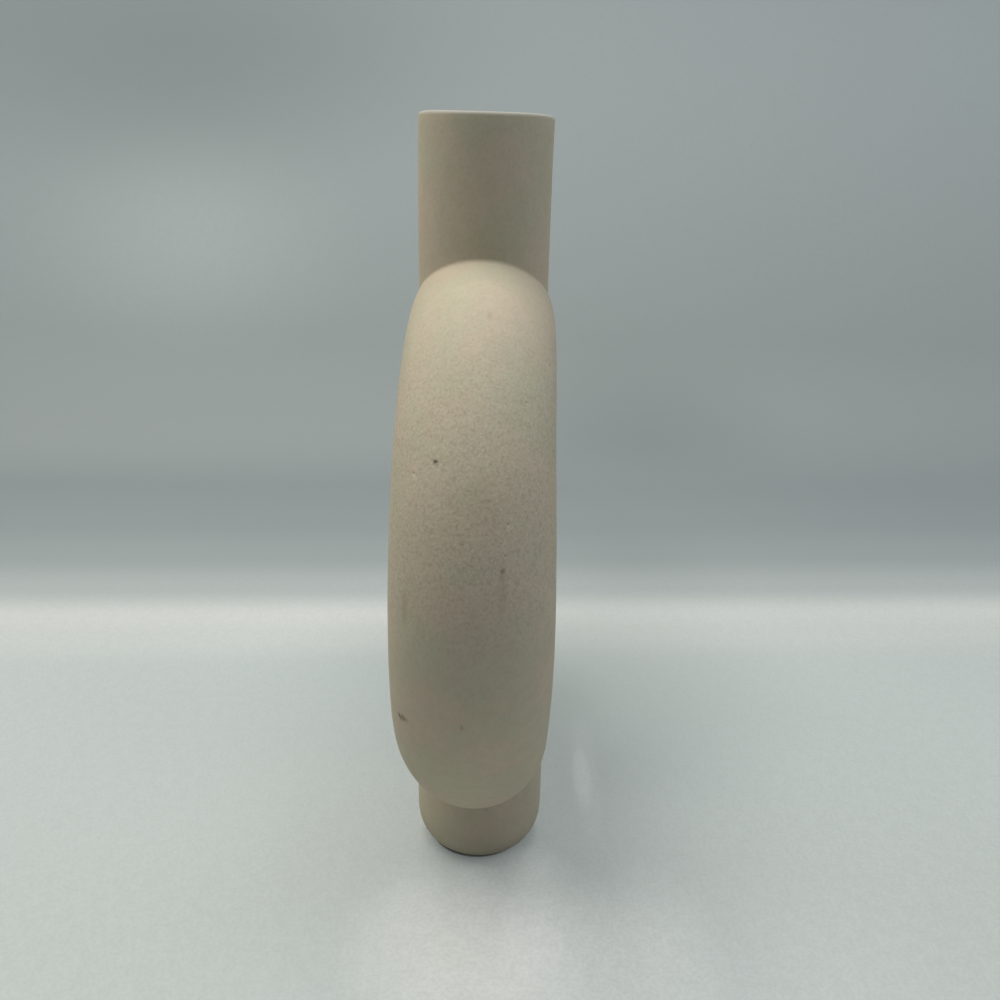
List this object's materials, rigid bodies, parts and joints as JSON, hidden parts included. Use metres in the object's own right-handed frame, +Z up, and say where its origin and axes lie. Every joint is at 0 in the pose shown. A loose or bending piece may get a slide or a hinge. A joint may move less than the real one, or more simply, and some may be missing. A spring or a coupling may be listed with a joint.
{
  "type": "donut vase",
  "caption": "Hollow ring-shaped stoneware vase that stands upright on a short round foot, with a straight open neck on top for dried or cut stems.",
  "frame": {"origin": "centre of the foot's flat underside, on the surface that the vase stands on", "axes": "+Z up along the neck; the ring stands in the XZ plane, its hole runs along Y, and its front faces -Y"},
  "size_m": [0.1814, 0.0454, 0.25],
  "materials": {
    "stoneware": "matt, unglazed, sandy beige stoneware"
  },
  "bodies": {
    "root": {"ring_front_half": "stoneware", "ring_back_half": "stoneware", "neck_tube": "stoneware", "foot_cup": "stoneware"}
  },
  "joints": []
}
